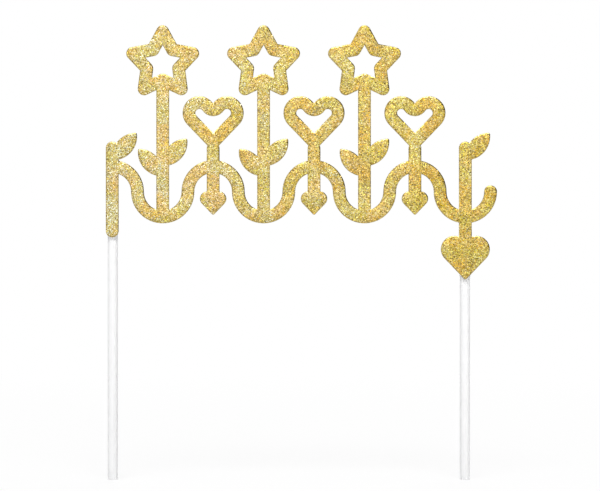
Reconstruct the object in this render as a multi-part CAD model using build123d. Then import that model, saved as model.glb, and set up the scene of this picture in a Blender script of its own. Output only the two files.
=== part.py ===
"""Cake topper: a die-cut glitter card ornament glued to two hollow plastic sticks.

Millimetres, +Z up, front of the ornament towards -Y. The origin is at the
bottom centre of the whole topper: Z = 0 is the plane of the stick tips.
"""
import os
from math import acos, asin, atan2, cos, degrees, hypot, radians, sin, sqrt

from build123d import *

# Overall sizes
topper_height = 223.0
ornament_width = 191.8

# Layers of the ornament
card_thickness = 1.0
coat_thickness = 0.5

# Ornament: one stroke width throughout, a vine in half-circle waves, a stem on every wave
stroke = 6.3
bays = 7
stem_root = 1.6
left_post_height = 47.0
right_post_height = 68.0
vine_lift = 10.0

# Stars, hearts and hanging buds on the stems
star_radius = 15.5
star_waist = 8.2
heart_width = 30.0
heart_stem_length = 7.3
heart_lobe_gap = 0.82
heart_slimness = 2.3
bud_width = 13.0
bud_hang = 24.0
corner_round = 0.8

# Leaves on the stems
leaf_length = 18.0
leaf_width = 8.5
leaf_lean = 42.0
leaf_rise = 20.0
leaf_stagger = 5.0
post_leaf_drop = 6.0

# Heart round the foot of the right post
pendant_width = 24.0

# Sticks: round below the ornament, pressed slightly oval where they are glued
stick_diameter = 5.0
stick_wall = 0.7
stick_length = 159.0
post_cover = 7.0
press_depth = 0.6
press_run = 4.0
seat_clearance = 0.05

# Hot-melt glue along each stick
glue_margin = 0.3
glue_height = 3.0
glue_start = 10.0
glue_end = 6.0

# Places along X: the posts are the first and the last stem of the vine
half_stroke = stroke / 2
wave_radius = (ornament_width - stroke) / (2 * bays + 1)
left_x = half_stroke - ornament_width / 2
stem_xs = [left_x + 2 * wave_radius * k for k in range(bays + 1)]
right_x = stem_xs[-1]

# Free length of each stick: its post hides the rest and reaches past its end
left_stick_free = stick_length + post_cover - left_post_height
right_stick_free = stick_length + post_cover - right_post_height

# Heights of the vine, the posts and what the stems carry
trough_z = left_stick_free + vine_lift
vine_z = trough_z + wave_radius
crest_z = vine_z + wave_radius
left_post_foot = left_stick_free + half_stroke
left_post_top = left_stick_free + left_post_height - half_stroke
right_post_top = right_stick_free + right_post_height - half_stroke
star_z = topper_height - half_stroke - star_radius
heart_tip_z = crest_z + heart_stem_length
bud_tip_z = crest_z - bud_hang

# Depths: the coat lies on the front of the card, the sticks stand behind it
depth = coat_thickness + card_thickness + seat_clearance + stick_diameter
card_front_y = coat_thickness - depth / 2
card_back_y = card_front_y + card_thickness
stick_y = card_back_y + seat_clearance + stick_diameter / 2

# The pressed stretch of a stick, whose girth stays that of the round one
pressed_half_depth = (stick_diameter - press_depth) / 2
pressed_half_width = sqrt(stick_diameter**2 / 2 - pressed_half_depth**2)


def upright(x, bottom, top):
    """A vertical stroke with round ends, between its two end centres."""
    return Pos(x, (bottom + top) / 2) * SlotCenterToCenter(top - bottom, stroke, rotation=90)


def open_star():
    """Five-pointed star about the origin, one point up, as a band along its outline."""
    points = []
    for corner in range(10):
        reach = star_waist if corner % 2 else star_radius
        angle = radians(90 + 36 * corner)
        points.append((reach * cos(angle), reach * sin(angle)))
    middle = make_face(Polyline(*points, close=True))
    return offset(middle, half_stroke, kind=Kind.ARC) - offset(middle, -half_stroke, kind=Kind.ARC)


def heart(width):
    """Solid heart with its tip at the origin: two round lobes and the straight sides that touch them."""
    lobe = width / 2 / (1 + heart_lobe_gap)
    lobe_x = lobe * heart_lobe_gap
    lobe_z = lobe * heart_slimness
    lean = degrees(atan2(lobe_x, lobe_z) + asin(lobe / hypot(lobe_x, lobe_z)))
    cleft = 180 - degrees(acos(heart_lobe_gap))
    right_lobe = CenterArc((lobe_x, lobe_z), lobe, -lean, cleft + lean)
    left_lobe = CenterArc((-lobe_x, lobe_z), lobe, 180 - cleft, cleft + lean)
    right_side = Line((0, 0), right_lobe @ 0)
    left_side = Line(left_lobe @ 1, (0, 0))
    face = make_face([right_side, right_lobe, left_lobe, left_side])
    return fillet(face.vertices().sort_by(Axis.Y)[0], corner_round)


def open_heart(width):
    """Heart cut out in the middle, so that a band one stroke wide is left."""
    face = heart(width)
    return face - offset(face, -stroke, kind=Kind.ARC)


def leaf(x, z, lean):
    """Pointed leaf that springs from a stem at x, z and leans from the vertical."""
    tip = (0, leaf_length)
    right_edge = ThreePointArc((0, 0), (leaf_width / 2, leaf_length / 2), tip)
    left_edge = ThreePointArc(tip, (-leaf_width / 2, leaf_length / 2), (0, 0))
    face = make_face([right_edge, left_edge])
    blade = fillet(face.vertices().sort_by(Axis.Y)[-1], corner_round)
    return Pos(x, z) * Rot(0, 0, lean) * blade


def vine():
    """Half circles above and below the middle line, from the left post to a free curl at the right."""
    start = degrees(asin(stem_root / wave_radius))
    arcs = [CenterArc((left_x, vine_z), wave_radius, 90 - start, start - 90)]
    for k in range(1, bays + 1):
        sweep = 180 if k % 2 else -180
        arcs.append(CenterArc((stem_xs[k], vine_z), wave_radius, 180, sweep))
    return SlotArc(Wire(arcs), stroke)


def star_stem(x):
    """Stem from a trough of the vine, with two leaves and a star."""
    stem = upright(x, trough_z + stem_root, star_z - star_waist - stem_root)
    star = Pos(x, star_z) * open_star()
    left_leaf = leaf(x, trough_z + leaf_rise, leaf_lean)
    right_leaf = leaf(x, trough_z + leaf_rise + leaf_stagger, -leaf_lean)
    return [stem, star, left_leaf, right_leaf]


def heart_stem(x):
    """Stem across a crest of the vine, with a heart above and a bud hanging below."""
    stem = upright(x, bud_tip_z + bud_width / 2, heart_tip_z + stem_root)
    flower = Pos(x, heart_tip_z) * open_heart(heart_width)
    bud = Pos(x, bud_tip_z) * heart(bud_width)
    return [stem, flower, bud]


def posts():
    """The two posts that the sticks are glued behind, with a leaf on each."""
    left_post = upright(left_x, left_post_foot, left_post_top)
    right_post = upright(right_x, right_stick_free + pendant_width / 2, right_post_top)
    pendant = Pos(right_x, right_stick_free) * heart(pendant_width)
    left_leaf = leaf(left_x, left_post_top - post_leaf_drop, -leaf_lean)
    right_leaf = leaf(right_x, right_post_top - post_leaf_drop, -leaf_lean)
    return [left_post, right_post, pendant, left_leaf, right_leaf]


def ornament_outline():
    """The whole die-cut outline as one face."""
    strokes = posts()
    for k in range(1, bays):
        strokes += star_stem(stem_xs[k]) if k % 2 else heart_stem(stem_xs[k])
    return vine() + strokes


def sheet(outline, back_y, thickness):
    """The outline as a flat sheet whose back face lies at back_y."""
    return extrude(Plane.XZ.offset(-back_y) * outline, thickness)


def stick_body(free_length, inset):
    """Solid stick, or its bore where inset is the wall: round, then eased into the pressed oval."""
    oval_z = free_length + press_run
    round_end = Circle(stick_diameter / 2 - inset)
    oval_end = Ellipse(pressed_half_width - inset, pressed_half_depth - inset)
    easing = loft([Pos(0, 0, free_length) * round_end, Pos(0, 0, oval_z) * oval_end])
    oval_part = Pos(0, 0, oval_z) * extrude(oval_end, stick_length - oval_z)
    return extrude(round_end, free_length) + easing + oval_part


def glue_bead(free_length):
    """Low round bead on the card along the pressed stretch of a stick."""
    left_foot = (-pressed_half_width - glue_margin, 0)
    right_foot = (pressed_half_width + glue_margin, 0)
    crown = ThreePointArc(right_foot, (0, glue_height), left_foot)
    section = make_face([crown, Line(left_foot, right_foot)])
    bead = extrude(section, stick_length - glue_end - free_length - glue_start)
    return Pos(0, card_back_y, free_length + glue_start) * bead


nodes = {}
outline = ornament_outline()
nodes["glitter_coat"] = sheet(outline, card_front_y, coat_thickness)
nodes["backing_card"] = sheet(outline, card_back_y, card_thickness)
for side, x, free_length in (("left", left_x, left_stick_free), ("right", right_x, right_stick_free)):
    body = Pos(0, stick_y) * stick_body(free_length, 0)
    bore = Pos(0, stick_y) * stick_body(free_length, stick_wall)
    nodes[f"{side}_stick"] = Pos(x) * (body - bore)
    nodes[f"{side}_glue_bead"] = Pos(x) * (glue_bead(free_length) - body)

os.makedirs("parts", exist_ok=True)
for name, shape in nodes.items():
    export_step(shape, f"parts/{name}.step")
    print(name, len(shape.solids()), "solid", round(shape.volume, 1), "mm3")
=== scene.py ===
# Cake topper: gold glitter card ornament glued to two hollow plastic sticks.
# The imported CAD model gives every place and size; this script gives it its surfaces.
from math import pi, radians

import bpy
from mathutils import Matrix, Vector


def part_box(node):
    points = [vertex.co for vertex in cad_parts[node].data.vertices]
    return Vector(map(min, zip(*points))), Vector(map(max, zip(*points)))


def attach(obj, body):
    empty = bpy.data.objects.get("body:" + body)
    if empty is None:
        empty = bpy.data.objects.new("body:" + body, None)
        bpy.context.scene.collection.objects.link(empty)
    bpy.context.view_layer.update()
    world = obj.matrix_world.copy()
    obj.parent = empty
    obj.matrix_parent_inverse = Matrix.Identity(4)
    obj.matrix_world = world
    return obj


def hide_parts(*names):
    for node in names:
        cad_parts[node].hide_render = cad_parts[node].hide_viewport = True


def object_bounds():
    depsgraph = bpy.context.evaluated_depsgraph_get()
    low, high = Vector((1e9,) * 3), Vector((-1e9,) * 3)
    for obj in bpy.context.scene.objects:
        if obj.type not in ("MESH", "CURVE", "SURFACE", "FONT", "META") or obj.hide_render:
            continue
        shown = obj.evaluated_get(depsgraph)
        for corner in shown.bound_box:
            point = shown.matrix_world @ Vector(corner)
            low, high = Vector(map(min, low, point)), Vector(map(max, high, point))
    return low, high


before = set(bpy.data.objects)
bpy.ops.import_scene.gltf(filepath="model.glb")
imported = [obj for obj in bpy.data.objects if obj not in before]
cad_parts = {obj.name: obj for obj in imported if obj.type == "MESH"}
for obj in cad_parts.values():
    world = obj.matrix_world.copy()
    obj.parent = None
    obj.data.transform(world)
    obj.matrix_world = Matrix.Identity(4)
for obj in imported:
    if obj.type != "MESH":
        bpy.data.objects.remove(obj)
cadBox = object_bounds()
mm = 0.001
mergeGap = 0.001 * mm  # corners of a CAD mesh that are nearer than this are one corner
print("frame loaded, nodes:", ", ".join(sorted(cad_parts)))


def hexColour(code):
    channels = [int(code[k:k + 2], 16) / 255 for k in (1, 3, 5)]
    linear = [c / 12.92 if c <= 0.04045 else ((c + 0.055) / 1.055) ** 2.4 for c in channels]
    return (*linear, 1.0)


# adds one node: settings are its properties, inputs are values or sockets to link, stops fill a colour ramp
def addNode(tree, kind, settings=None, inputs=None, stops=None):
    node = tree.nodes.new(kind)
    for name, value in (settings or {}).items():
        setattr(node, name, value)
    for key, value in (inputs or {}).items():
        if isinstance(value, bpy.types.NodeSocket):
            tree.links.new(value, node.inputs[key])
        else:
            node.inputs[key].default_value = value
    if stops:
        elements = node.color_ramp.elements
        while len(elements) < len(stops):
            elements.new(1.0)
        for element, (place, code) in zip(elements, stops):
            element.position = place
            element.color = hexColour(code)
    return node


def newMaterial(name):
    material = bpy.data.materials.new(name)
    material.use_nodes = True
    material.node_tree.nodes.clear()
    return material, material.node_tree


def pick(piece):
    bpy.ops.object.select_all(action="DESELECT")
    piece.select_set(True)
    bpy.context.view_layer.objects.active = piece


# leaves the piece in edit mode with just the faces that pass the test selected
def chooseFaces(piece, test):
    bpy.ops.object.mode_set(mode="EDIT")
    bpy.ops.mesh.select_mode(type="FACE")
    bpy.ops.mesh.select_all(action="DESELECT")
    bpy.ops.object.mode_set(mode="OBJECT")
    for face in piece.data.polygons:
        face.select = test(face)
    bpy.ops.object.mode_set(mode="EDIT")


# a copy of a CAD node's mesh, its loose triangles merged into one skin
def copyNode(node, name):
    piece = bpy.data.objects.new(name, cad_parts[node].data.copy())
    bpy.context.scene.collection.objects.link(piece)
    pick(piece)
    bpy.ops.mesh.customdata_custom_splitnormals_clear()
    bpy.ops.object.mode_set(mode="EDIT")
    bpy.ops.mesh.select_all(action="SELECT")
    bpy.ops.mesh.remove_doubles(threshold=mergeGap)
    bpy.ops.object.mode_set(mode="OBJECT")
    return piece


def dress(piece, material):
    piece.data.materials.clear()
    piece.data.materials.append(material)


def addPiece(piece, material, replaced=None):
    dress(piece, material)
    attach(piece, "root")
    if replaced:
        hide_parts(replaced)


# Glitter coat: the layer that holds the flakes, set back so that leaning flakes stay within the cut outline
glitterCoat = {
    "setback": 0.03 * mm,
    "wall": 0.03 * mm,
    "shoulder": [(0.10 * mm, 0.11 * mm), (0.26 * mm, 0.14 * mm), (0.36 * mm, 0.09 * mm)],  # width, rise
    "frontTurn": -0.9,              # faces of the CAD coat whose normal has a Y below this are its front
    "smoothAngle": radians(50),
    "grain": 0.42 * mm,
    "grainShades": [(0.0, "#705a0c"), (0.35, "#9a7f24"), (0.7, "#c2a84a"), (1.0, "#e2d08e")],
    "grainBump": (0.35, 0.1 * mm),  # strength, height
    "roughness": (0.16, 0.32),      # least, most
    "metallic": 0.9,
    "clearRoughness": 0.2,          # of the clear acrylic over the dust
}


def goldBinder():
    # Clear acrylic binder full of fine gold dust: seen only between the flakes, as deeper, duller gold
    plan = glitterCoat
    strength, height = plan["grainBump"]
    least, most = plan["roughness"]
    material, tree = newMaterial("goldDustBinder")
    place = addNode(tree, "ShaderNodeTexCoord")
    grains = addNode(tree, "ShaderNodeTexVoronoi", inputs={
        "Vector": place.outputs["Object"], "Scale": 1 / plan["grain"]})
    draw = addNode(tree, "ShaderNodeSeparateColor", inputs={"Color": grains.outputs["Color"]})
    shade = addNode(tree, "ShaderNodeValToRGB", inputs={
        "Fac": draw.outputs["Red"]}, stops=plan["grainShades"])
    gloss = addNode(tree, "ShaderNodeMapRange", inputs={
        "Value": draw.outputs["Green"], "To Min": least, "To Max": most})
    bumps = addNode(tree, "ShaderNodeBump", inputs={
        "Height": grains.outputs["Distance"], "Strength": strength, "Distance": height})
    shader = addNode(tree, "ShaderNodeBsdfPrincipled", inputs={
        "Base Color": shade.outputs["Color"], "Metallic": plan["metallic"],
        "Roughness": gloss.outputs["Result"], "Coat Weight": 1.0,
        "Coat Roughness": plan["clearRoughness"], "Normal": bumps.outputs["Normal"]})
    addNode(tree, "ShaderNodeOutputMaterial", inputs={"Surface": shader.outputs["BSDF"]})
    return material


# edit mode leaves the faces in another order each run, and the flakes fall by that order
def orderFaces(piece):
    points = [vertex.co.copy() for vertex in piece.data.vertices]
    rings = [list(face.vertices) for face in piece.data.polygons]
    firsts = [ring.index(min(ring)) for ring in rings]
    ordered = sorted(ring[first:] + ring[:first] for ring, first in zip(rings, firsts))
    piece.data.clear_geometry()
    piece.data.from_pydata(points, [], ordered)


def makeGlitterCoat():
    plan = glitterCoat
    low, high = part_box("glitter_coat")
    coat = copyNode("glitter_coat", "glitter_coat_binder")
    chooseFaces(coat, lambda face: face.normal.y > plan["frontTurn"])
    bpy.ops.mesh.delete(type="FACE")
    bpy.ops.mesh.select_all(action="SELECT")
    bpy.ops.transform.translate(value=(0, high.y - low.y, 0))  # the sheet now lies on the card
    bpy.ops.mesh.inset(thickness=plan["setback"], use_boundary=True, use_even_offset=True)
    bpy.ops.mesh.select_all(action="INVERT")
    bpy.ops.mesh.delete(type="FACE")
    bpy.ops.mesh.select_all(action="SELECT")
    bpy.ops.mesh.extrude_region_move(TRANSFORM_OT_translate={"value": (0, -plan["wall"], 0)})
    for width, rise in plan["shoulder"]:
        bpy.ops.mesh.inset(thickness=width, depth=rise, use_boundary=True, use_even_offset=True)
    bpy.ops.mesh.select_all(action="SELECT")
    bpy.ops.mesh.normals_make_consistent(inside=False)
    bpy.ops.object.mode_set(mode="OBJECT")
    orderFaces(coat)
    bpy.ops.object.shade_smooth_by_angle(angle=plan["smoothAngle"])
    return coat


coat = makeGlitterCoat()
addPiece(coat, goldBinder(), "glitter_coat")
print("glitter coat:", len(coat.data.polygons), "faces")

# Glitter flakes: punched hexagons of two sizes, each a flat face on a short root in the binder
glitterFlakes = {
    "groups": [  # a face of the coat whose normal has a Y above mostTurned gets no flakes
        {"name": "glitter_flakes_coarse", "across": 0.84 * mm, "spacing": 0.67 * mm, "lean": radians(11),
         "mostTurned": -0.985, "seed": 3},
        {"name": "glitter_flakes_fine", "across": 0.54 * mm, "spacing": 0.60 * mm, "lean": radians(15),
         "mostTurned": -0.93, "seed": 8},
    ],
    "corners": 6,
    "root": 0.16 * mm,
    "lift": 0.02 * mm,
    "squeeze": 0.88,
    "sizes": (0.8, 1.15),         # smallest, largest
    "crowding": 4,                # tries in a square of one spacing, enough to leave no wide gaps
    "map": "OFBake",              # holds the rolls side by side: shade runs across each, paleness up it
    "spot": 0.02,                 # size of one flake's spot on that map
    "drift": (0.27, 0.42),        # shares of shade and of paleness that a batch of flakes has in common
    "batch": 13 * mm,
    "paintedLeftSheen": 0.2,                 # painted sheen: flakes wash out more towards the left, for the light's haze there
    "rolls": ["#ffe8d2", "#fcf9f4", "#f2ffff"],  # tints of the rolls of film: amber, gold, lemon
    "rollPatch": (0.32, 0.68),    # spread of the patches where one roll prevails
    "stray": 0.08,                # how far chance moves a flake towards the next roll
    "shades": [(0.10, "#4c3b02"), (0.23, "#7a6a06"), (0.34, "#c2980f"), (0.46, "#c8b625"),
               (0.60, "#e7bf35"), (0.75, "#e9da62"), (0.88, "#f9de7d"), (0.95, "#fbf3b4"),
               (0.98, "#e5ae35")],
    "paleShade": "#f4ebd2",
    "palePower": 4.0,             # a high power leaves most flakes deep and a few pale
    "paleMost": 3.3,
    "roughness": (0.24, 0.42),    # least, most
}


def goldFoil():
    # Metallised polyester film: mirror-flat flakes, each one shade of gold from pale yellow through amber
    # to olive, some of them washed out as the dye of the film is uneven, and more of them towards
    # the left as painted sheen of the light from there
    plan = glitterFlakes
    rollCount = len(plan["rolls"])
    tints = [(k / rollCount, code) for k, code in enumerate(plan["rolls"])]
    least, most = plan["roughness"]
    material, tree = newMaterial("goldMetallisedPolyester")
    place = addNode(tree, "ShaderNodeUVMap", {"uv_map": plan["map"]})
    draw = addNode(tree, "ShaderNodeSeparateXYZ", inputs={"Vector": place.outputs["UV"]})
    rolls = addNode(tree, "ShaderNodeMath", {"operation": "MULTIPLY"}, {0: draw.outputs["X"], 1: rollCount})
    along = addNode(tree, "ShaderNodeMath", {"operation": "FRACT"}, {0: rolls.outputs[0]})
    shade = addNode(tree, "ShaderNodeValToRGB", inputs={"Fac": along.outputs[0]}, stops=plan["shades"])
    tint = addNode(tree, "ShaderNodeValToRGB", inputs={"Fac": draw.outputs["X"]}, stops=tints)
    tint.color_ramp.interpolation = "CONSTANT"
    few = addNode(tree, "ShaderNodeMath", {"operation": "POWER"}, {
        0: draw.outputs["Y"], 1: plan["palePower"]})
    paleDyeAndSheen = addNode(tree, "ShaderNodeMapRange", inputs={"Value": few.outputs[0], "To Max": plan["paleMost"]})
    colour = addNode(tree, "ShaderNodeMix", {"data_type": "RGBA"}, {
        0: paleDyeAndSheen.outputs["Result"], 6: shade.outputs["Color"], 7: hexColour(plan["paleShade"])})
    tinted = addNode(tree, "ShaderNodeMix", {"data_type": "RGBA", "blend_type": "MULTIPLY"}, {
        0: 1.0, 6: colour.outputs[2], 7: tint.outputs["Color"]})
    gloss = addNode(tree, "ShaderNodeMapRange", inputs={
        "Value": along.outputs[0], "To Min": least, "To Max": most})
    shader = addNode(tree, "ShaderNodeBsdfPrincipled", inputs={
        "Base Color": tinted.outputs[2], "Metallic": 1.0, "Roughness": gloss.outputs["Result"]})
    addNode(tree, "ShaderNodeOutputMaterial", inputs={"Surface": shader.outputs["BSDF"]})
    return material


def makeFlake(across):
    plan = glitterFlakes
    bpy.ops.object.select_all(action="DESELECT")
    bpy.ops.mesh.primitive_cone_add(vertices=plan["corners"], radius1=0, radius2=across / 2,
                                    depth=plan["root"], location=(0, 0, plan["lift"] - plan["root"] / 2))
    flake = bpy.context.active_object
    bpy.ops.object.transform_apply(location=True, rotation=True, scale=True)
    bpy.ops.object.mode_set(mode="EDIT")
    bpy.ops.mesh.select_all(action="SELECT")
    bpy.ops.transform.resize(value=(1, plan["squeeze"], 1))
    bpy.ops.object.mode_set(mode="OBJECT")
    return flake


# a flake's place on the map: mostly chance, partly the batch that fell there,
# and more washed out towards the left, which is painted sheen of the light from there
def drawPlace(tree, seed):
    plan = glitterFlakes
    rollCount = len(plan["rolls"])
    patchLow, patchHigh = plan["rollPatch"]
    shadeRoom, paleRoom = [1 - plan["spot"] - drift for drift in plan["drift"]]
    paintedSheenSlope = -plan["paintedLeftSheen"] / (cadBox[1].x - cadBox[0].x)
    chance = addNode(tree, "FunctionNodeRandomValue", {"data_type": "FLOAT_VECTOR"}, {
        0: (0, plan["paintedLeftSheen"] / 2, -plan["stray"]),
        1: (shadeRoom, paleRoom - plan["paintedLeftSheen"] / 2, plan["stray"]), "Seed": seed})
    batch = addNode(tree, "ShaderNodeTexNoise", inputs={"Scale": 1 / plan["batch"], "Detail": 1.0})
    mixed = addNode(tree, "ShaderNodeVectorMath", {"operation": "MULTIPLY_ADD"}, {
        0: batch.outputs["Color"], 1: (*plan["drift"], 1), 2: chance.outputs[0]})
    along = addNode(tree, "GeometryNodeInputPosition")
    sideways = addNode(tree, "ShaderNodeSeparateXYZ", inputs={0: along.outputs[0]})
    # painted sheen: the paleness draw rises steadily towards the left, standing in for the light's haze
    # there
    draw = addNode(tree, "ShaderNodeVectorMath", {"operation": "MULTIPLY_ADD"}, {
        0: sideways.outputs["X"], 1: (0, paintedSheenSlope, 0), 2: mixed.outputs[0]})
    # it then moves to the part of the map that holds the roll of film that prevails there
    hue = addNode(tree, "ShaderNodeSeparateXYZ", inputs={0: draw.outputs[0]})
    roll = addNode(tree, "ShaderNodeMapRange", {"interpolation_type": "STEPPED"}, {
        "Value": hue.outputs["Z"], "From Min": patchLow, "From Max": patchHigh,
        "To Max": 1 - 1 / rollCount, "Steps": rollCount - 1})
    offset = addNode(tree, "ShaderNodeCombineXYZ", inputs={"X": roll.outputs["Result"]})
    placed = addNode(tree, "ShaderNodeVectorMath", {"operation": "MULTIPLY_ADD"}, {
        0: draw.outputs[0], 1: (1 / rollCount, 1, 0), 2: offset.outputs[0]})
    return placed.outputs[0]


def scatterTree(group, flake):
    plan = glitterFlakes
    lean = group["lean"]
    smallest, largest = plan["sizes"]
    tree = bpy.data.node_groups.new(group["name"], "GeometryNodeTree")
    tree.interface.new_socket("Geometry", in_out="INPUT", socket_type="NodeSocketGeometry")
    tree.interface.new_socket("Geometry", in_out="OUTPUT", socket_type="NodeSocketGeometry")
    ground = addNode(tree, "NodeGroupInput")
    normal = addNode(tree, "GeometryNodeInputNormal")
    facing = addNode(tree, "ShaderNodeSeparateXYZ", inputs={0: normal.outputs[0]})
    front = addNode(tree, "FunctionNodeCompare", {"operation": "LESS_THAN"}, {
        0: facing.outputs["Y"], 1: group["mostTurned"]})
    sheet = addNode(tree, "GeometryNodeSeparateGeometry", {"domain": "FACE"}, {
        "Geometry": ground.outputs[0], "Selection": front.outputs[0]})
    spots = addNode(tree, "GeometryNodeDistributePointsOnFaces", {"distribute_method": "POISSON"}, {
        "Mesh": sheet.outputs["Selection"], "Distance Min": group["spacing"],
        "Density Max": plan["crowding"] / group["spacing"] ** 2, "Seed": group["seed"]})
    tilt = addNode(tree, "FunctionNodeRandomValue", {"data_type": "FLOAT_VECTOR"}, {
        0: (-lean, -lean, 0), 1: (lean, lean, 2 * pi), "Seed": group["seed"] + 1})
    turn = addNode(tree, "FunctionNodeEulerToRotation", inputs={0: tilt.outputs[0]})
    turned = addNode(tree, "FunctionNodeRotateRotation", {"rotation_space": "LOCAL"}, {
        0: spots.outputs["Rotation"], 1: turn.outputs[0]})
    size = addNode(tree, "FunctionNodeRandomValue", inputs={
        2: smallest, 3: largest, "Seed": group["seed"] + 2})
    shape = addNode(tree, "GeometryNodeObjectInfo", inputs={"Object": flake})
    flakes = addNode(tree, "GeometryNodeInstanceOnPoints", inputs={
        "Points": spots.outputs["Points"], "Instance": shape.outputs["Geometry"],
        "Rotation": turned.outputs[0], "Scale": size.outputs[1]})
    marked = addNode(tree, "GeometryNodeStoreNamedAttribute", {
        "data_type": "FLOAT_VECTOR", "domain": "INSTANCE"}, {
        "Geometry": flakes.outputs[0], "Name": "flakeDraw", "Value": drawPlace(tree, group["seed"] + 3)})
    real = addNode(tree, "GeometryNodeRealizeInstances", inputs={0: marked.outputs[0]})
    # each flake's own corners shrink to a spot on the map, moved to that flake's place
    corner = addNode(tree, "GeometryNodeInputNamedAttribute", {"data_type": "FLOAT_VECTOR"}, {
        "Name": "UVMap"})
    drawn = addNode(tree, "GeometryNodeInputNamedAttribute", {"data_type": "FLOAT_VECTOR"}, {
        "Name": "flakeDraw"})
    spot = addNode(tree, "ShaderNodeVectorMath", {"operation": "MULTIPLY_ADD"}, {
        0: corner.outputs[0], 1: (plan["spot"] / len(plan["rolls"]), plan["spot"], 0), 2: drawn.outputs[0]})
    mapped = addNode(tree, "GeometryNodeStoreNamedAttribute", {"data_type": "FLOAT2", "domain": "CORNER"}, {
        "Geometry": real.outputs[0], "Name": plan["map"], "Value": spot.outputs[0]})
    # no corner leaves the CAD box
    place = addNode(tree, "GeometryNodeInputPosition")
    above = addNode(tree, "ShaderNodeVectorMath", {"operation": "MAXIMUM"}, {
        0: place.outputs[0], 1: cadBox[0]})
    within = addNode(tree, "ShaderNodeVectorMath", {"operation": "MINIMUM"}, {
        0: above.outputs[0], 1: cadBox[1]})
    kept = addNode(tree, "GeometryNodeSetPosition", inputs={
        "Geometry": mapped.outputs[0], "Position": within.outputs[0]})
    addNode(tree, "NodeGroupOutput", inputs={0: kept.outputs[0]})
    return tree


def scatterFlakes(group):
    flake = makeFlake(group["across"])
    piece = bpy.data.objects.new(group["name"], coat.data.copy())
    bpy.context.scene.collection.objects.link(piece)
    pick(piece)
    scatter = piece.modifiers.new("scatter", "NODES")
    scatter.node_group = scatterTree(group, flake)
    bpy.ops.object.modifier_apply(modifier="scatter")
    for spare in ("flakeDraw", "UVMap"):
        piece.data.attributes.remove(piece.data.attributes[spare])
    bpy.data.objects.remove(flake)
    return piece


foil = goldFoil()
flakeFaces = glitterFlakes["corners"] + 1
for group in glitterFlakes["groups"]:
    flakes = scatterFlakes(group)
    addPiece(flakes, foil)
    print(group["name"] + ":", len(flakes.data.polygons) // flakeFaces, "flakes")

# Card: the CAD node itself, uncoated white board with a greyer cut edge
boxboard = {
    "mottle": 5 * mm,
    "fibre": 0.35 * mm,
    "fibreLength": 1.3 * mm,
    "fibreTurn": radians(14),         # how far the fibres lie askew
    "fibreWander": 2.0,
    "fibreShare": 0.5,                # of the fibres in the shade, the rest is mottle
    "fibreBump": (0.35, 0.05 * mm),   # strength, height
    "faceShades": [(0.25, "#e4e1d8"), (0.5, "#ece9e2"), (0.75, "#f2f0ea")],
    "ply": 0.25 * mm,
    "plyWander": 1.5,
    "wavePhase": 20,                  # radians of a wave texture in one unit at scale 1
    "edgeShades": [(0.2, "#cbc5b6"), (0.8, "#e1dcd0")],
    "edgeSkin": 0.03 * mm,            # the cut edge begins this far under the back face
    "roughness": (0.75, 0.95),        # least, most
}


def whiteBoxboard():
    # Uncoated white board: matt, faintly mottled with short fibres, and plies showing grey in the cut edge
    plan = boxboard
    strength, height = plan["fibreBump"]
    least, most = plan["roughness"]
    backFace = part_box("backing_card")[1].y
    material, tree = newMaterial("whiteBoxboard")
    place = addNode(tree, "ShaderNodeTexCoord")
    axes = addNode(tree, "ShaderNodeSeparateXYZ", inputs={0: place.outputs["Object"]})
    mottle = addNode(tree, "ShaderNodeTexNoise", inputs={
        "Vector": place.outputs["Object"], "Scale": 1 / plan["mottle"], "Detail": 3.0})
    lying = addNode(tree, "ShaderNodeMapping", inputs={
        "Vector": place.outputs["Object"], "Rotation": (0, plan["fibreTurn"], 0),
        "Scale": (1 / plan["fibreLength"], 1 / plan["fibre"], 1 / plan["fibre"])})
    fibres = addNode(tree, "ShaderNodeTexNoise", inputs={
        "Vector": lying.outputs[0], "Scale": 1.0, "Detail": 2.0, "Distortion": plan["fibreWander"]})
    mixed = addNode(tree, "ShaderNodeMix", {"data_type": "FLOAT"}, {
        0: plan["fibreShare"], 2: mottle.outputs["Fac"], 3: fibres.outputs["Fac"]})
    face = addNode(tree, "ShaderNodeValToRGB", inputs={"Fac": mixed.outputs[0]}, stops=plan["faceShades"])
    plies = addNode(tree, "ShaderNodeTexWave", {"bands_direction": "Y"}, {
        "Vector": place.outputs["Object"], "Scale": 2 * pi / plan["wavePhase"] / plan["ply"],
        "Distortion": plan["plyWander"], "Detail": 2.0})
    edge = addNode(tree, "ShaderNodeValToRGB", inputs={
        "Fac": plies.outputs["Fac"]}, stops=plan["edgeShades"])
    skin = addNode(tree, "ShaderNodeMath", {"operation": "LESS_THAN"}, {
        0: axes.outputs["Y"], 1: backFace - plan["edgeSkin"]})
    colour = addNode(tree, "ShaderNodeMix", {"data_type": "RGBA"}, {
        0: skin.outputs[0], 6: face.outputs["Color"], 7: edge.outputs["Color"]})
    bumps = addNode(tree, "ShaderNodeBump", inputs={
        "Height": fibres.outputs["Fac"], "Strength": strength, "Distance": height})
    gloss = addNode(tree, "ShaderNodeMapRange", inputs={
        "Value": fibres.outputs["Fac"], "To Min": least, "To Max": most})
    shader = addNode(tree, "ShaderNodeBsdfPrincipled", inputs={
        "Base Color": colour.outputs[2], "Roughness": gloss.outputs["Result"],
        "Normal": bumps.outputs["Normal"]})
    addNode(tree, "ShaderNodeOutputMaterial", inputs={"Surface": shader.outputs["BSDF"]})
    return material


dress(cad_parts["backing_card"], whiteBoxboard())
print("card dressed")

# Sticks: the CAD tubes with their cut ends softened
sticks = {
    "endRound": 0.14 * mm,
    "endSteps": 2,
    "sharpAngle": radians(60),      # edges sharper than this are the rims of the cut ends
    "smoothAngle": radians(35),
    "dieLine": 0.35 * mm,
    "dieLineLength": 120 * mm,
    "lineShades": [(0.3, "#f7f7f8"), (0.7, "#fdfdfd")],
    "lineBump": (0.1, 0.03 * mm),   # strength, height
    "roughness": (0.28, 0.42),      # least, most
    "ior": 1.49,
    "clearness": 0.1,
}


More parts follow.
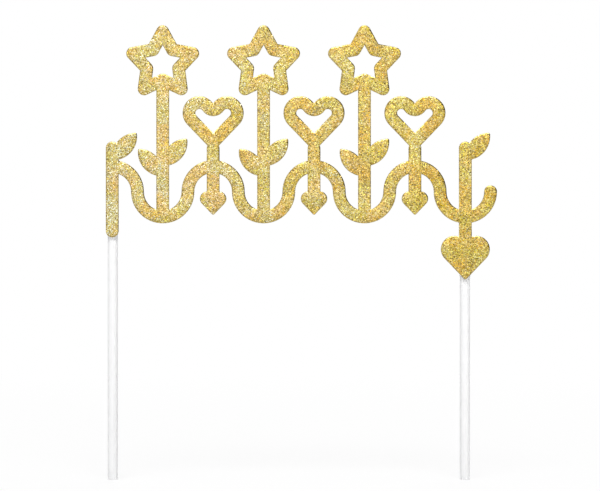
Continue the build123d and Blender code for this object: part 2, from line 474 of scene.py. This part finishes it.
def milkyPolypropylene():
    # Extruded polypropylene tube: milky white, satin, with faint die lines along its length
    plan = sticks
    strength, height = plan["lineBump"]
    least, most = plan["roughness"]
    material, tree = newMaterial("milkyPolypropylene")
    place = addNode(tree, "ShaderNodeTexCoord")
    drawnOut = addNode(tree, "ShaderNodeMapping", inputs={
        "Vector": place.outputs["Object"],
        "Scale": (1 / plan["dieLine"], 1 / plan["dieLine"], 1 / plan["dieLineLength"])})
    lines = addNode(tree, "ShaderNodeTexNoise", inputs={
        "Vector": drawnOut.outputs[0], "Scale": 1.0, "Detail": 1.0})
    colour = addNode(tree, "ShaderNodeValToRGB", inputs={
        "Fac": lines.outputs["Fac"]}, stops=plan["lineShades"])
    gloss = addNode(tree, "ShaderNodeMapRange", inputs={
        "Value": lines.outputs["Fac"], "To Min": least, "To Max": most})
    bumps = addNode(tree, "ShaderNodeBump", inputs={
        "Height": lines.outputs["Fac"], "Strength": strength, "Distance": height})
    shader = addNode(tree, "ShaderNodeBsdfPrincipled", inputs={
        "Base Color": colour.outputs["Color"], "Roughness": gloss.outputs["Result"], "IOR": plan["ior"],
        "Transmission Weight": plan["clearness"], "Normal": bumps.outputs["Normal"]})
    addNode(tree, "ShaderNodeOutputMaterial", inputs={"Surface": shader.outputs["BSDF"]})
    return material


def softenStick(side):
    stick = copyNode(side + "_stick", side + "_stick_tube")
    bpy.ops.object.mode_set(mode="EDIT")
    bpy.ops.mesh.select_mode(type="EDGE")
    bpy.ops.mesh.select_all(action="DESELECT")
    bpy.ops.mesh.edges_select_sharp(sharpness=sticks["sharpAngle"])
    bpy.ops.mesh.bevel(offset=sticks["endRound"], segments=sticks["endSteps"], affect="EDGES")
    bpy.ops.object.mode_set(mode="OBJECT")
    bpy.ops.object.shade_smooth_by_angle(angle=sticks["smoothAngle"])
    return stick


polypropylene = milkyPolypropylene()
for side in ("left", "right"):
    addPiece(softenStick(side), polypropylene, side + "_stick")
print("sticks softened and dressed")

# Glue: hot melt squeezed out between stick and card, uneven along its length, cut to the stick in it
glue = {
    "width": 5.9 * mm,
    "crown": 3.2 * mm,                   # how high it would stand over the card without the stick
    "sides": 48,                         # faces round a bead
    "rings": 90,                         # rows of faces along a bead
    "endRun": 2.4 * mm,                  # stretch over which each end tapers off
    "endWidth": 0.55,                    # shares of the width and height that are left at the very end
    "endHeight": 0.15,
    "lump": 3.2 * mm,
    "lumpHeight": 1.4 * mm,
    "lumpSide": 0.3 * mm,
    "stickHalf": (2.77 * mm, 2.2 * mm),  # half width and half depth of the pressed stick
    "stickSides": 96,
    "stickBelow": 0.35 * mm,             # glue left between the stick and the card
    "nearCut": 0.0001 * mm,              # a corner nearer than this to a cut counts as on it
    "sliver": 0.004 * mm,                # edges shorter than this close up after the cuts
    "smoothAngle": radians(50),
    "cloud": 1.4 * mm,
    "cloudShades": [(0.3, "#efe7d0"), (0.7, "#faf5e6")],
    "roughness": (0.14, 0.3),            # least, most
    "ior": 1.48,
    "clearness": 0.2,
}


def hotMelt():
    # EVA hot melt: cloudy, faintly yellow, smooth and waxy where it set
    least, most = glue["roughness"]
    material, tree = newMaterial("cloudyHotMelt")
    place = addNode(tree, "ShaderNodeTexCoord")
    clouds = addNode(tree, "ShaderNodeTexNoise", inputs={
        "Vector": place.outputs["Object"], "Scale": 1 / glue["cloud"], "Detail": 2.0})
    colour = addNode(tree, "ShaderNodeValToRGB", inputs={
        "Fac": clouds.outputs["Fac"]}, stops=glue["cloudShades"])
    gloss = addNode(tree, "ShaderNodeMapRange", inputs={
        "Value": clouds.outputs["Fac"], "To Min": least, "To Max": most})
    shader = addNode(tree, "ShaderNodeBsdfPrincipled", inputs={
        "Base Color": colour.outputs["Color"], "Roughness": gloss.outputs["Result"], "IOR": glue["ior"],
        "Transmission Weight": glue["clearness"]})
    addNode(tree, "ShaderNodeOutputMaterial", inputs={"Surface": shader.outputs["BSDF"]})
    return material


# an upright bar of oval section
def addBar(sides, centre, halfWidth, halfDepth, length):
    bpy.ops.object.select_all(action="DESELECT")
    bpy.ops.mesh.primitive_cylinder_add(vertices=sides, radius=1, depth=length, location=centre)
    bar = bpy.context.active_object
    bar.scale = (halfWidth, halfDepth, 1)
    bpy.ops.object.transform_apply(location=True, rotation=True, scale=True)
    return bar


# cuts the bead across again and again for its rows of faces, then draws its ends in
def taperBead(bead, low, high):
    middle = (low.x + high.x) / 2
    length = high.z - low.z
    bpy.ops.object.mode_set(mode="EDIT")
    for ring in range(1, glue["rings"]):
        bpy.ops.mesh.select_all(action="SELECT")
        bpy.ops.mesh.bisect(plane_co=(0, 0, low.z + length * ring / glue["rings"]), plane_no=(0, 0, 1),
                            threshold=glue["nearCut"])
    bpy.ops.object.mode_set(mode="OBJECT")
    for vertex in bead.data.vertices:
        run = min(vertex.co.z - low.z, high.z - vertex.co.z) / glue["endRun"]
        taper = (1 - (1 - min(run, 1)) ** 2) ** 0.5  # a quarter circle
        vertex.co.x = middle + (vertex.co.x - middle) * (glue["endWidth"] + (1 - glue["endWidth"]) * taper)
        vertex.co.y = low.y + (vertex.co.y - low.y) * (glue["endHeight"] + (1 - glue["endHeight"]) * taper)


# lumps away from the card and a little all round, as hot melt sets
def addLumps(bead, side):
    lumps = bpy.data.textures.new(side + "GlueLumps", "CLOUDS")
    lumps.noise_scale = glue["lump"]
    for way, height in (("Y", glue["lumpHeight"]), ("NORMAL", glue["lumpSide"])):
        uneven = bead.modifiers.new("uneven", "DISPLACE")
        uneven.texture = lumps
        uneven.texture_coords = "LOCAL"
        uneven.direction = way
        uneven.strength = height
        bpy.ops.object.modifier_apply(modifier="uneven")


# cuts the bead flat where it lies on the card
def flattenBead(low):
    bpy.ops.object.mode_set(mode="EDIT")
    bpy.ops.mesh.select_all(action="SELECT")
    bpy.ops.mesh.bisect(plane_co=(0, low.y, 0), plane_no=(0, 1, 0), use_fill=True, clear_inner=True,
                        threshold=glue["nearCut"])
    bpy.ops.mesh.select_all(action="SELECT")
    bpy.ops.mesh.normals_make_consistent(inside=False)
    bpy.ops.object.mode_set(mode="OBJECT")


# cuts the shape of the stick out of the bead, then tidies the faces along the cut
def cutSeat(bead, stick):
    pick(bead)
    seat = bead.modifiers.new("seat", "BOOLEAN")
    seat.operation = "DIFFERENCE"
    seat.solver = "EXACT"
    seat.object = stick
    bpy.ops.object.modifier_apply(modifier="seat")
    bpy.data.objects.remove(stick)
    bpy.ops.object.mode_set(mode="EDIT")
    bpy.ops.mesh.select_all(action="SELECT")
    bpy.ops.mesh.remove_doubles(threshold=glue["sliver"])
    bpy.ops.mesh.quads_convert_to_tris()
    bpy.ops.object.mode_set(mode="OBJECT")


def lumpyGlue(side):
    low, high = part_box(side + "_glue_bead")
    length = high.z - low.z
    centre = ((low.x + high.x) / 2, low.y, (low.z + high.z) / 2)
    bead = addBar(glue["sides"], centre, glue["width"] / 2, glue["crown"], length)
    bead.name = side + "_glue_melt"
    taperBead(bead, low, high)
    addLumps(bead, side)
    flattenBead(low)
    halfWidth, halfDepth = glue["stickHalf"]
    stickCentre = (centre[0], low.y + glue["stickBelow"] + halfDepth, centre[2])
    stick = addBar(glue["stickSides"], stickCentre, halfWidth, halfDepth, 2 * length)
    cutSeat(bead, stick)
    bpy.ops.object.shade_smooth_by_angle(angle=glue["smoothAngle"])
    return bead


melt = hotMelt()
for side in ("left", "right"):
    bead = lumpyGlue(side)
    addPiece(bead, melt, side + "_glue_bead")
    print(side, "glue:", len(bead.data.polygons), "faces")

# Studio: white floor and background, a soft key from above the front, a weak fill and a lamp behind
studio = {
    "target": Vector((0, 0, 150 * mm)),
    "floorSize": 8.0,
    "floorColour": "#ececec",
    "floorGlow": 0.82,           # share of plain white that the camera sees; the rest takes the shadow
    "glowReach": (0.25, 0.9),    # metres out where that share begins to rise, and where it is all
    "fillStrength": 0.27,
    "dimSide": 0.04,             # how much of the white is left in reflections of the right-hand side
    "dimEnds": (0.6, -0.4),      # X of the directions where the dim side is dimmest, and where it ends
    "behindEnds": (0.6, 0.95),   # Y of the directions where the white behind begins, and where it is full
    "lamps": [
        {"name": "key", "place": (-0.2, -2.1, 3.1), "size": 2.4, "watts": 112.0},
        {"name": "fill", "place": (0.4, -2.5, 0.6), "size": 2.2, "watts": 12.0},
        {"name": "back", "place": (0.6, 2.0, 1.65), "size": 2.4, "watts": 32.0},
    ],
}


def paleFloor():
    near, far = studio["glowReach"]
    material, tree = newMaterial("paleStudioFloor")
    place = addNode(tree, "ShaderNodeTexCoord")
    reach = addNode(tree, "ShaderNodeVectorMath", {"operation": "LENGTH"}, {0: place.outputs["Object"]})
    glow = addNode(tree, "ShaderNodeMapRange", inputs={
        "Value": reach.outputs["Value"], "From Min": near, "From Max": far,
        "To Min": studio["floorGlow"], "To Max": 1.0})
    path = addNode(tree, "ShaderNodeLightPath")
    seen = addNode(tree, "ShaderNodeMath", {"operation": "MAXIMUM"}, {
        0: path.outputs["Is Camera Ray"], 1: path.outputs["Is Glossy Ray"]})
    either = addNode(tree, "ShaderNodeMath", {"operation": "MAXIMUM"}, {
        0: seen.outputs[0], 1: path.outputs["Is Transmission Ray"]})
    share = addNode(tree, "ShaderNodeMath", {"operation": "MULTIPLY"}, {
        0: glow.outputs["Result"], 1: either.outputs[0]})
    matt = addNode(tree, "ShaderNodeBsdfDiffuse", inputs={"Color": hexColour(studio["floorColour"])})
    white = addNode(tree, "ShaderNodeEmission", inputs={"Color": (1, 1, 1, 1), "Strength": 1.0})
    both = addNode(tree, "ShaderNodeMixShader", inputs={
        0: share.outputs[0], 1: matt.outputs[0], 2: white.outputs[0]})
    addNode(tree, "ShaderNodeOutputMaterial", inputs={"Surface": both.outputs[0]})
    return material


# white for the camera and through clear plastic; in reflections white too, but for a dim side to the right
def whiteWorld():
    dimmest, undimmed = studio["dimEnds"]
    begins, full = studio["behindEnds"]
    world = bpy.data.worlds.new("studio")
    world.use_nodes = True
    world.node_tree.nodes.clear()
    tree = world.node_tree
    path = addNode(tree, "ShaderNodeLightPath")
    way = addNode(tree, "ShaderNodeTexCoord")
    axes = addNode(tree, "ShaderNodeSeparateXYZ", inputs={0: way.outputs["Generated"]})
    left = addNode(tree, "ShaderNodeMapRange", {"interpolation_type": "SMOOTHSTEP"}, {
        "Value": axes.outputs["X"], "From Min": dimmest, "From Max": undimmed,
        "To Min": studio["dimSide"], "To Max": 1.0})
    behind = addNode(tree, "ShaderNodeMapRange", {"interpolation_type": "SMOOTHSTEP"}, {
        "Value": axes.outputs["Y"], "From Min": begins, "From Max": full})
    room = addNode(tree, "ShaderNodeMath", {"operation": "MAXIMUM"}, {
        0: left.outputs["Result"], 1: behind.outputs["Result"]})
    inGloss = addNode(tree, "ShaderNodeMix", {"data_type": "FLOAT"}, {
        0: path.outputs["Is Glossy Ray"], 2: studio["fillStrength"], 3: room.outputs[0]})
    clear = addNode(tree, "ShaderNodeMath", {"operation": "MAXIMUM"}, {
        0: path.outputs["Is Camera Ray"], 1: path.outputs["Is Transmission Ray"]})
    strength = addNode(tree, "ShaderNodeMix", {"data_type": "FLOAT"}, {
        0: clear.outputs[0], 2: inGloss.outputs[0], 3: 1.0})
    white = addNode(tree, "ShaderNodeBackground", inputs={
        "Color": (1, 1, 1, 1), "Strength": strength.outputs[0]})
    addNode(tree, "ShaderNodeOutputWorld", inputs={"Surface": white.outputs[0]})
    return world


def makeStudio():
    bpy.ops.object.select_all(action="DESELECT")
    bpy.ops.mesh.primitive_plane_add(size=studio["floorSize"])
    floor = bpy.context.active_object
    floor.name = "floor"
    dress(floor, paleFloor())
    bpy.context.scene.world = whiteWorld()
    for lamp in studio["lamps"]:
        bpy.ops.object.light_add(type="AREA", location=lamp["place"])
        light = bpy.context.active_object
        light.name = lamp["name"]
        light.data.shape = "DISK"
        light.data.size = lamp["size"]
        light.data.energy = lamp["watts"]
        light.rotation_euler = (studio["target"] - light.location).to_track_quat("-Z", "Y").to_euler()


makeStudio()
print("studio set")

# Camera: straight on with a long lens, framed as the photograph is
shot = {
    "lens": 135.0,
    "sensor": 36.0,
    "frameWidth": 294 * mm,
    "centre": (-0.7 * mm, 115.0 * mm),  # X and Z at the middle of the picture
    "farthest": 50,
}
away = shot["frameWidth"] * shot["lens"] / shot["sensor"]
bpy.ops.object.camera_add(rotation=(radians(90), 0, 0))
camera = bpy.context.active_object
camera.data.lens = shot["lens"]
camera.data.sensor_width = shot["sensor"]
camera.location = (shot["centre"][0], cadBox[0].y - away, shot["centre"][1])
camera.data.clip_end = shot["farthest"]
bpy.context.scene.camera = camera
bpy.context.scene.view_settings.view_transform = "Standard"
print("camera set")

bpy.context.view_layer.update()
